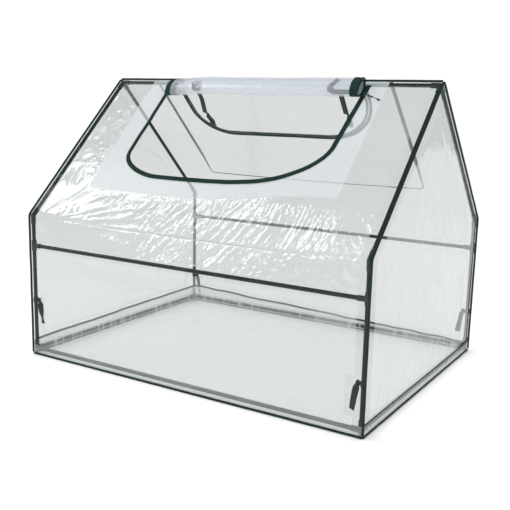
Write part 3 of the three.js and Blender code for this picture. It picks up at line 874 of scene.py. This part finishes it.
def add_ground_sheet():
    """A loose sheet, turned up against the tubes at the left and back, with bound edges."""
    outer_left, outer_back = SHEET_LEFT - CORNER_RISE, SHEET_BACK + CORNER_RISE
    xs = np.concatenate([steps(outer_left, SHEET_LEFT, 6.0), steps(SHEET_LEFT, SHEET_RIGHT, 8.0)[1:]])
    ys = np.concatenate([steps(SHEET_FRONT, SHEET_BACK, 8.0), steps(SHEET_BACK, outer_back, 6.0)[1:]])
    points, quads = grid(xs, ys)
    centres = points[quads].mean(axis=1)
    corner = (centres[:, 0] < SHEET_LEFT) & (centres[:, 1] > SHEET_BACK)
    points, quads = used_only(points, quads[~corner])
    shape = ground_shape(*points.T)
    # patches of haze over the base tube where the sheet is turned up: painted glints that break up the dark
    # tube
    painted_glint_patches = 0.7 * ramp(noise(shape[:, 0] / 14, shape[:, 1] / 14, 66), 0.05, 0.3)
    turned_up = (points[:, 0] < SHEET_LEFT) | (points[:, 1] > SHEET_BACK)
    veil = np.where(turned_up, np.maximum(touching(np.abs(shape[:, 2] - BASE_Z - 3)), painted_glint_patches), 1)
    piece = add_film("ground_sheet", shape, quads, SHADED_GROUND_FILM, "floor_film", veil, 0.12,
                     stands_for=["floor_sheet"])
    left_edge = respaced([(outer_left, SHEET_FRONT), (outer_left, SHEET_BACK)], 6)
    back_edge = respaced([(SHEET_LEFT, outer_back), (SHEET_RIGHT, outer_back)], 6)
    bound = [swept(ground_shape(*edge.T), (0, 0, 1), strip(1.8, 6.0, 2)) for edge in (left_edge, back_edge)]
    binding = add_piece("ground_sheet_binding", *joined(bound), PIPING, "piping")


# ---- Piping and seams ----
def wandering(line, seed, amount=0.5):
    """A sewn line is never quite straight."""
    run = np.arange(len(line)) * 4.0
    drift = np.stack([noise(run / 60, k + 0.5, seed) for k in range(3)], axis=1)
    fade = np.minimum(ramp(run, 0, 30), ramp(run[::-1], 0, 30))[:, None]
    return line + amount * drift * fade


def add_piping():
    """The cords round both gables, along the ridge and round the hem."""
    cord = circle(PIPING_RADIUS, 14)
    foot = HEM_Z + FILM_EDGE
    for side, sign in (("left", -1), ("right", 1)):
        x = sign * SIDE_X
        corners = [(x, -WALL_Y, foot), (x, -WALL_Y, SHOULDER_Z), (x, 0, RIDGE_Z),
                   (x, WALL_Y, SHOULDER_Z), (x, WALL_Y, foot)]
        line = wandering(rounded(corners, 12), 71 + sign)
        add_piece(f"gable_piping_cord_{side}", *swept(line, (1, 0, 0), cord), PIPING, "piping",
                  stands_for=[f"gable_piping_{side}"])
    end = SIDE_X - FILM_EDGE
    line = wandering(respaced([(-end, 0, RIDGE_Z), (end, 0, RIDGE_Z)], 4), 73)
    add_piece("ridge_piping_cord", *swept(line, (0, 0, 1), cord), PIPING, "piping",
              stands_for=["ridge_piping"])
    corners = [(-SIDE_X, 0, HEM_Z), (-SIDE_X, -WALL_Y, HEM_Z), (SIDE_X, -WALL_Y, HEM_Z),
               (SIDE_X, WALL_Y, HEM_Z), (-SIDE_X, WALL_Y, HEM_Z), (-SIDE_X, 0, HEM_Z)]
    line = wandering(rounded(corners, 9), 74)[:-1]
    add_piece("hem_piping_cord", *swept(line, (0, 0, 1), cord, loop=True), PIPING, "piping",
              stands_for=["hem_piping"])


def add_insert_seams():
    """The seams that hold the window panels: welded at the front, bound at the back."""
    top = FILM_EDGE + 3
    path = rounded([(-INSERT_HALF, top), (-INSERT_HALF, INSERT_DROP),
                    (INSERT_HALF, INSERT_DROP), (INSERT_HALF, top)], 14)
    line, up = on_cover("front", path, 0.9)
    add_film("front_panel_seam", *swept(line, up, strip(3.0, 0.8, 3)), HEM, "window_film")
    line, up = on_cover("back", path, 0.9)
    widths = 4.5 + 8 * ramp(INSERT_DROP - path[:, 1], 0, 150)
    sections = np.stack([strip(width, 1.2, 3) for width in widths])
    add_piece("back_panel_binding", *swept(line, up, sections), PIPING, "piping")


# ---- Zips ----
def wavy(path, seed, amount=0.8):
    """A path on the film, let out and taken in a little as sewn tape is."""
    along = np.gradient(path, axis=0)
    across = unit(np.stack([along[:, 1], -along[:, 0]], axis=1))
    return path + across * (amount * noise(run_along(path) / 55, 0.5, seed))[:, None]


def axes_along(line, up, at):
    """Points at some distances along a line, with the directions along, across and up there."""
    run = run_along(line)
    centre = read_at(line, run, at)
    rise = unit(read_at(up, run, at))
    along = unit(np.gradient(centre, axis=0))
    return centre, along, np.cross(along, rise), rise


def coil(line, up, radius=1.3, pitch=2.0, wire=0.45):
    """The spiral of a zip along a line."""
    at = np.arange(0, run_along(line)[-1], pitch / 6)
    centre, along, across, rise = axes_along(line, up, at)
    turn = (2 * np.pi * at / pitch)[:, None]
    spiral = centre + radius * (np.cos(turn) * across + 0.7 * np.sin(turn) * rise)
    return swept(spiral, along, circle(wire, 4))


def stitches(line, up, pitch=3.4, length=2.3, width=0.5):
    """A row of thread stitches, each a small pointed bead."""
    at = np.arange(pitch, run_along(line)[-1] - pitch, pitch)
    centre, along, across, rise = axes_along(line, up, at)
    waist = [(0, width, 0), (0, 0, width), (0, -width, 0), (0, 0, -width)]
    offsets = [(-length / 2, 0, 0), *waist, (length / 2, 0, 0)]
    points = np.stack([centre + a * along + b * across + c * rise for a, b, c in offsets], axis=1)
    bead = [(0, 2, 1), (0, 3, 2), (0, 4, 3), (0, 1, 4), (5, 1, 2), (5, 2, 3), (5, 3, 4), (5, 4, 1)]
    faces = [[6 * i + k for k in f] for i in range(len(centre)) for f in bead]
    return points.reshape(-1, 3), faces


def add_zip(side, window, inner, seed):
    """The half of a zip that is sewn round a window: its tape, its coil and two rows of stitches."""
    line, up = on_cover(side, wavy(window_path(window, window["top"]), seed), 1.4)
    tape = strip(TAPE_HALF - inner, 1.0, 6, (TAPE_HALF + inner) / 2)
    add_piece(f"{side}_zip_tape_woven", *swept(line, up, tape), TAPE, "zip_tape",
              stands_for=[f"{side}_zip_tape"])
    across = unit(np.cross(unit(np.gradient(line, axis=0)), up))
    teeth = line + across * (inner + 1.2) + up * 0.9
    add_piece(f"{side}_zip_coil", *coil(teeth, up), COIL, "zip_tape")
    rows = [line + across * offset + up * 0.55 for offset in (TAPE_HALF - 1.6, inner + 4.2)]
    threads = joined([stitches(row, up) for row in rows])
    add_piece(f"{side}_zip_stitches", *threads, THREAD, "zip_tape")


def add_back_flap():
    """The flap of the back window, zipped shut, with its own half of the zip along its edge."""
    film_inset, tape_inset = 3.6, 8.4  # from the zip's line to the film's edge and the tape's middle
    across, down = (BACK_WINDOW["left"], BACK_WINDOW["right"]), (FOLD_DROP, BACK_WINDOW["bottom"])
    points, quads = grid(steps(*across, CELL), steps(*down, CELL))
    outline = window_path(BACK_WINDOW, FOLD_DROP, -film_inset)
    points, quads = trimmed(points, quads, outline, keep_inside=True)
    flap = add_film("back_flap_film", cover("back", *points.T), quads[:, ::-1], SHADED_FAR_FILM, "clear_film",
                    back_panel_veil(points), 0.15, body="back_flap", stands_for=["back_flap"])
    path = wavy(window_path(BACK_WINDOW, FOLD_DROP + 2, -tape_inset), 83)
    line, up = on_cover("back", path, 1.4)
    add_piece("back_flap_tape", *swept(line, up, strip(9.0, 1.0, 4)), TAPE, "zip_tape", body="back_flap")


def add_slider(side):
    """A zip slider: two plates with flared shoulders, joined by a post, with a bridge for the pull."""
    x, drop = SLIDER_PLACE[side]
    centre = cover(side, x, drop, 0)
    up = unit(cover(side, x, drop, 5) - centre)
    down = unit(cover(side, x, drop + 5, 0) - centre)
    across = np.cross(down, up)
    shape = [(-7.5, 3.6), (-3, 4.9), (2, 5.0), (6, 3.6), (7.8, 2.0)]
    outline = shape + [(a, -b) for a, b in shape[::-1]]

    def slab(low, high, size=1.0):
        """The outline between two levels, with its edges taken off."""
        rings = []
        for level, scale in ((low, 0.88), (low + 0.3, 1.0), (high - 0.3, 1.0), (high, 0.88)):
            rings.append([centre + down * a * size * scale + across * b * size * scale + up * level
                          for a, b in outline])
        count = len(outline)
        faces = []
        for r in range(3):
            for j in range(count):
                k = (j + 1) % count
                faces.append([r * count + j, r * count + k, (r + 1) * count + k, (r + 1) * count + j])
        faces.append(list(range(count))[::-1])
        faces.append([3 * count + j for j in range(count)])
        return np.array(rings).reshape(-1, 3), faces

    arch = ((-5, 6.4), (-4, 7.8), (0, 8.3), (4, 7.8), (5, 6.4))
    line = respaced([centre + down * a + up * b for a, b in arch], 1.0)
    bridge = swept(line, across, strip(1.0, 2.6, 2))
    cast = joined([slab(2.0, 3.4), slab(3.5, 5.2, 0.55), slab(5.3, 6.6), bridge])
    piece = add_piece(f"{side}_zip_slider_cast", *cast, SLIDER, "zip_metal", body=f"{side}_slider",
                      stands_for=[f"{side}_zip_slider"])
    piece.data.set_sharp_from_angle(angle=math.radians(40))


def add_pull(side):
    """A zip pull: a green tab on the slider, a short cord, and a black moulded grip."""
    x, drop = SLIDER_PLACE[side]
    start = x + 7.8
    centre = cover(side, start, drop, 3.2)
    up = unit(cover(side, start, drop, 8) - centre)
    down = unit(cover(side, start, drop + 5, 3.2) - centre)
    out = unit(cover(side, start + 5, drop, 3.2) - centre)
    slant = math.radians(25)
    along = unit(out * math.cos(slant) + down * math.sin(slant))

    count = 12

    def run(begin, end):
        return centre + along * np.linspace(begin, end, count)[:, None]

    def widths(wide, thick):
        return np.stack([strip(w, d, 4) for w, d in zip(wide, thick)])

    tab = swept(run(0, 24), up, widths(np.linspace(3.4, 5.4, count), np.full(count, 1.1)))
    add_piece(f"{side}_zip_pull_tab", *tab, SLIDER, "zip_metal", body=f"{side}_pull")
    cord = swept(run(23, 40), up, circle(0.7, 8))
    t = np.linspace(0, 1, count)
    wide = 2.2 + 3.8 * np.sin(np.pi * (0.12 + 0.8 * t)) ** 0.8
    grip = swept(run(39, 53), up, widths(wide, 1.4 + 1.0 * np.sin(np.pi * t)))
    add_piece(f"{side}_zip_pull_grip", *joined([cord, grip]), BLACK, "pull_plastic",
              body=f"{side}_pull", stands_for=[f"{side}_zip_pull"])


# ---- Rolled front flap ----
ROLL_TURNS = 2.7
ROLL_AROUND = 178  # the length of one turn
LEAD = 0.06  # of t, for the film between its seam and the roll
ROLL_START = -0.45  # radians round the oval from its uphill end, where the film joins the roll


def roll_section(x, t, grow=0.0):
    """Drop and lift of the rolled film at x, where t runs from 0 on the outside to 1 in the middle."""
    turn = ROLL_START + 2 * np.pi * ROLL_TURNS * t
    size = 1 - 0.62 * ramp(t, 0.9 / ROLL_TURNS, 1.3)
    size = size * (1 + 0.05 * noise(x / 120, turn / 2.5, 91) + 0.03 * noise(x / 45, turn / 1.2, 92))
    slump = 1.6 * noise(x / 150, 3.5, 93)
    crease = -0.9 * creases(x / 90 + turn / 2, turn * 1.1, 94, 5) - 0.6 * creases(x / 30, turn * 0.9, 95, 5)
    along = ROLL["along"] * size + grow + crease
    off = ROLL["off"] * size + grow + crease
    droop = 12 * ramp(-x, 180, 330)
    drop = ROLL["drop"] + droop + slump - along * np.cos(turn)
    lift = ROLL["lift"] + off * np.sin(turn)
    return drop, lift


def roll_point(x, t, grow=0.0):
    """A point of the rolled flap: from t = -LEAD to 0 it runs from the seam to the roll."""
    x, t = np.broadcast_arrays(np.asarray(x, float), np.asarray(t, float))
    drop, lift = roll_section(x, np.maximum(t, 0), grow)
    share = smooth(-t / LEAD)
    drop = drop + (SEAM_DROP - drop) * share
    lift = lift + (SEAM_LIFT - lift) * share
    y = -drop * COS - lift * SIN
    z = RIDGE_Z - drop * SIN + lift * COS
    return np.stack([x, y, z], axis=-1)


def add_front_roll():
    """The flap, with its half of the zip tape wound up in both ends; film covers half of the left one."""
    ts = np.concatenate([np.linspace(-LEAD, 0, 7)[:-1], np.linspace(0, 1, 170)])
    points, quads = grid(steps(ROLL_FILM_START, ROLL_FILM_END, 7.0), ts)
    roll = add_film("front_flap_rolled", roll_point(*points.T), quads, ROLLED, "window_film",
                    body="front_roll", stands_for=["front_flap_roll"])
    attached = []
    starts = {"left": ROLL["left"], "right": ROLL["right"] - ROLL_TAPE_WIDTH["right"]}
    for name, start in starts.items():
        xs = steps(start, start + ROLL_TAPE_WIDTH[name], 3.0)
        points, quads = grid(xs, np.linspace(0.0, 0.93, 150))
        x, t = points.T
        under_film, over_film = -0.8, 1.0 + 0.7 * noise(x / 9, t * 6, 96)
        shape = roll_point(x, t, under_film if name == "left" else over_film)
        attached.append(add_piece(f"front_roll_tape_{name}", shape, quads, TAPE, "zip_tape",
                                  body="front_roll", stands_for=[f"front_roll_end_{name}"]))
    attached += add_roll_straps()


def add_roll_straps():
    """The ends of the front ties, folded and wound in under the roll's outer layer."""
    routes = {  # x and the turn of each bend
        "left": [(-221, 0.3), (-212, 0.47), (-194, 0.47), (-203, 0.3)],
        "right": [(295, 0.24), (276, 0.42), (290, 0.5), (352, 0.5)],
    }
    straps = []
    for name, route in routes.items():
        path = rounded([(x, turn * ROLL_AROUND) for x, turn in route], 5, 3)
        flat = np.column_stack([path, np.zeros(len(path))])
        points, faces = swept(flat, (0, 0, 1), strip(STRAP_WIDTH, 0.8, 7))
        shape = roll_point(points[:, 0], points[:, 1] / ROLL_AROUND / ROLL_TURNS, points[:, 2] - 1.3)
        straps.append(add_piece(f"front_roll_strap_{name}", shape, faces, STRAP, "webbing",
                                body="front_roll"))
    return straps


# ---- Ties ----
def add_front_ties():
    """The straps behind the roll, flat on the window panel."""
    for name, x in TIE_X.items():
        path = respaced([(x, 8), (x + 1, ROLL["drop"])], 3)
        line, up = on_cover("front", path, 1.3)
        add_piece(f"front_tie_strap_{name}", *swept(line, up, strip(STRAP_WIDTH, 1.0, 5)), STRAP,
                  "webbing", stands_for=[f"front_tie_{name}"])


def add_back_ties():
    """Limp straps on the back flap, each twisted edge-on near its lower end."""
    routes = {
        "left": [(286, BACK_TIE_TOP), (287, 90), (311, 168), (305, 196), (299, 230)],
        "right": [(-258, BACK_TIE_TOP), (-252, 110), (-247, 172), (-249, BACK_TIE_END)],
    }
    for name, route in routes.items():
        path = rounded(route, 12, 3)
        t = np.linspace(0, 1, len(path))
        turned = ramp(t, 0.64, 0.72) + ramp(t, 0.82, 0.96)
        lift = 1.0 + 4 * ramp(t, 0.6, 0.72) * (1 - ramp(t, 0.84, 1))
        lift = lift + 1.2 * np.abs(noise(t * 6, 0.5, 101)) * ramp(t, 0.15, 0.4)
        line, up = on_cover("back", path, lift)
        across = np.cross(unit(np.gradient(line, axis=0)), up)
        twist = (math.pi / 2 * turned)[:, None]
        facing = up * np.cos(twist) + across * np.sin(twist)
        add_piece(f"back_tie_strap_{name}", *swept(line, facing, strip(STRAP_WIDTH, 0.9, 5)), STRAP,
                  "webbing", body=f"back_tie_{name}", stands_for=[f"back_tie_{name}"])


def add_corner_tie(name, sign_x, sign_y, height):
    """A strap knotted round an upright, with a loop in the knot and a hanging tail."""
    x, y = sign_x * TUBE_X, sign_y * TUBE_Y
    inward = -sign_x
    seed = 110 + round(height)
    turn = np.linspace(0, 2 * np.pi, 40)
    radius = TUBE_RADIUS + 1.3
    rise = 1.5 * np.sin(turn * 1.5)
    ring = np.stack([x + radius * np.cos(turn), y + radius * np.sin(turn), height + rise], axis=1)
    outward = np.stack([np.cos(turn), np.sin(turn), 0 * turn], axis=1)
    band = swept(ring[:-1], outward[:-1], strip(STRAP_WIDTH - 2, 1.0, 4), loop=True)
    at = np.array([x + inward * 10, y, height])
    bow = [at + [inward * (4 + 5.5 * math.cos(t)), 3.4 * math.sin(2 * t), 5.5 * math.sin(t)]
           for t in np.linspace(0, 2 * np.pi, 36, endpoint=False)]
    wrap = [at + [inward * 3 * math.cos(t), 3.2 * math.sin(t), 2.2 * math.cos(t)]
            for t in np.linspace(0, 2 * np.pi, 24, endpoint=False)]
    hanging = [(4, 0, 2), (9, -1, -8), (13, 1, -30), (17, 0, -55), (20, -1, -76)]
    tail = rounded([at + [inward * a, sign_y * b, c] for a, b, c in hanging], 14, 3)
    t = np.linspace(0, 1, len(tail))
    twist = 0.9 * noise(t * 2.2, 0.5, seed) + 0.5 * (1 - ramp(t, 0, 0.3))
    facing = np.stack([np.sin(twist), np.cos(twist), 0 * t], axis=1) * [1, -1, 1]
    widths = np.stack([strip(6 + (STRAP_WIDTH - 6) * w, 0.9, 5) for w in ramp(t, 0, 0.25)])
    parts = [
        band,
        swept(np.array(bow), (0, 1, 0), strip(5.5, 1.6, 3), loop=True),
        swept(np.array(wrap), (0, 0, 1), strip(7.0, 2.0, 3), loop=True),
        swept(tail, facing, widths),
    ]
    add_piece(f"corner_strap_{name}", *joined(parts), STRAP, "webbing", stands_for=[f"corner_tie_{name}"])


# ---- Stage ----
def add_floor():
    """A white floor, plain enough that no horizon shows."""
    mesh = bpy.data.meshes.new("Floor")
    half = 14  # metres
    corners = [(-half, -half, 0), (half, -half, 0), (half, half, 0), (-half, half, 0)]
    mesh.from_pydata(corners, [], [(0, 1, 2, 3)])
    floor = bpy.data.objects.new("Floor", mesh)
    bpy.context.scene.collection.objects.link(floor)
    material = new_material("floor_look")
    surface = node(material, "BsdfDiffuse", {"Color": (0.985, 0.985, 0.985, 1)})
    mesh.materials.append(finished(material, surface))


def add_light(name, place, target, size, power):
    lamp = bpy.data.lights.new(name, "AREA")
    lamp.shape = "RECTANGLE"
    lamp.size, lamp.size_y = size
    lamp.energy = power
    light = bpy.data.objects.new(name, lamp)
    light.location = place
    light.rotation_euler = (Vector(target) - Vector(place)).to_track_quat("-Z", "Y").to_euler()
    bpy.context.scene.collection.objects.link(light)


def add_lights():
    """A white studio that is darker where it is only seen in reflections, with two soft boxes."""
    world = bpy.data.worlds.new("Studio")
    world.use_nodes = True
    tree = world.node_tree
    path = tree.nodes.new("ShaderNodeLightPath")
    shade = tree.nodes.new("ShaderNodeMapRange")
    seen, reflected = 1.04, 0.3
    shade.inputs["To Min"].default_value = seen
    shade.inputs["To Max"].default_value = reflected
    tree.links.new(path.outputs["Is Glossy Ray"], shade.inputs["Value"])
    tree.nodes["Background"].inputs["Color"].default_value = (1, 1, 1, 1)
    tree.links.new(shade.outputs[0], tree.nodes["Background"].inputs["Strength"])
    bpy.context.scene.world = world
    bpy.context.scene.view_settings.view_transform = "Standard"
    add_light("Key", (-2.9, -1.6, 3.3), (0, -0.3, 0.6), (1.3, 1.7), 38)
    add_light("Side", (3.4, -1.6, 2.4), (0, 0, 0.4), (0.4, 1.2), 12)


def add_camera():
    """The camera that was fitted to the photo."""
    place = Vector((1.329, -2.197, 0.842))
    azimuth, elevation, roll = math.radians(31.46), math.radians(11.095), math.radians(1.346)
    back = Vector((math.sin(azimuth) * math.cos(elevation), -math.cos(azimuth) * math.cos(elevation),
                   math.sin(elevation)))
    right = Vector((math.cos(azimuth), math.sin(azimuth), 0))
    up = back.cross(right)
    rolled_right = right * math.cos(roll) + up * math.sin(roll)
    rolled_up = up * math.cos(roll) - right * math.sin(roll)
    camera = bpy.data.cameras.new("Camera")
    camera.lens = 55.1
    camera.sensor_width = 36
    view = bpy.data.objects.new("Camera", camera)
    axes = Matrix((rolled_right, rolled_up, back)).transposed()
    view.matrix_world = Matrix.Translation(place) @ axes.to_4x4()
    bpy.context.scene.collection.objects.link(view)
    bpy.context.scene.camera = view


add_frame()
for side_name in ("front", "back"):
    add_outer_film(side_name)
add_window_panel("front", FRONT_WINDOW, FRONT_WINDOW["top"])
add_window_panel("back", BACK_WINDOW, FOLD_DROP)
for side_name in ("left", "right"):
    add_gable(side_name)
add_hem_bands()
add_piping()
add_insert_seams()
add_floor()
add_ground_sheet()
add_zip("front", FRONT_WINDOW, -TAPE_HALF, 81)
add_zip("back", BACK_WINDOW, -2.4, 82)
add_back_flap()
add_front_roll()
add_front_ties()
add_back_ties()
for corner_name, (corner_x, corner_y, tie_height) in TIE_CORNERS.items():
    add_corner_tie(corner_name, corner_x, corner_y, tie_height)
for side_name in ("front", "back"):
    add_slider(side_name)
    add_pull(side_name)
add_lights()
add_camera()
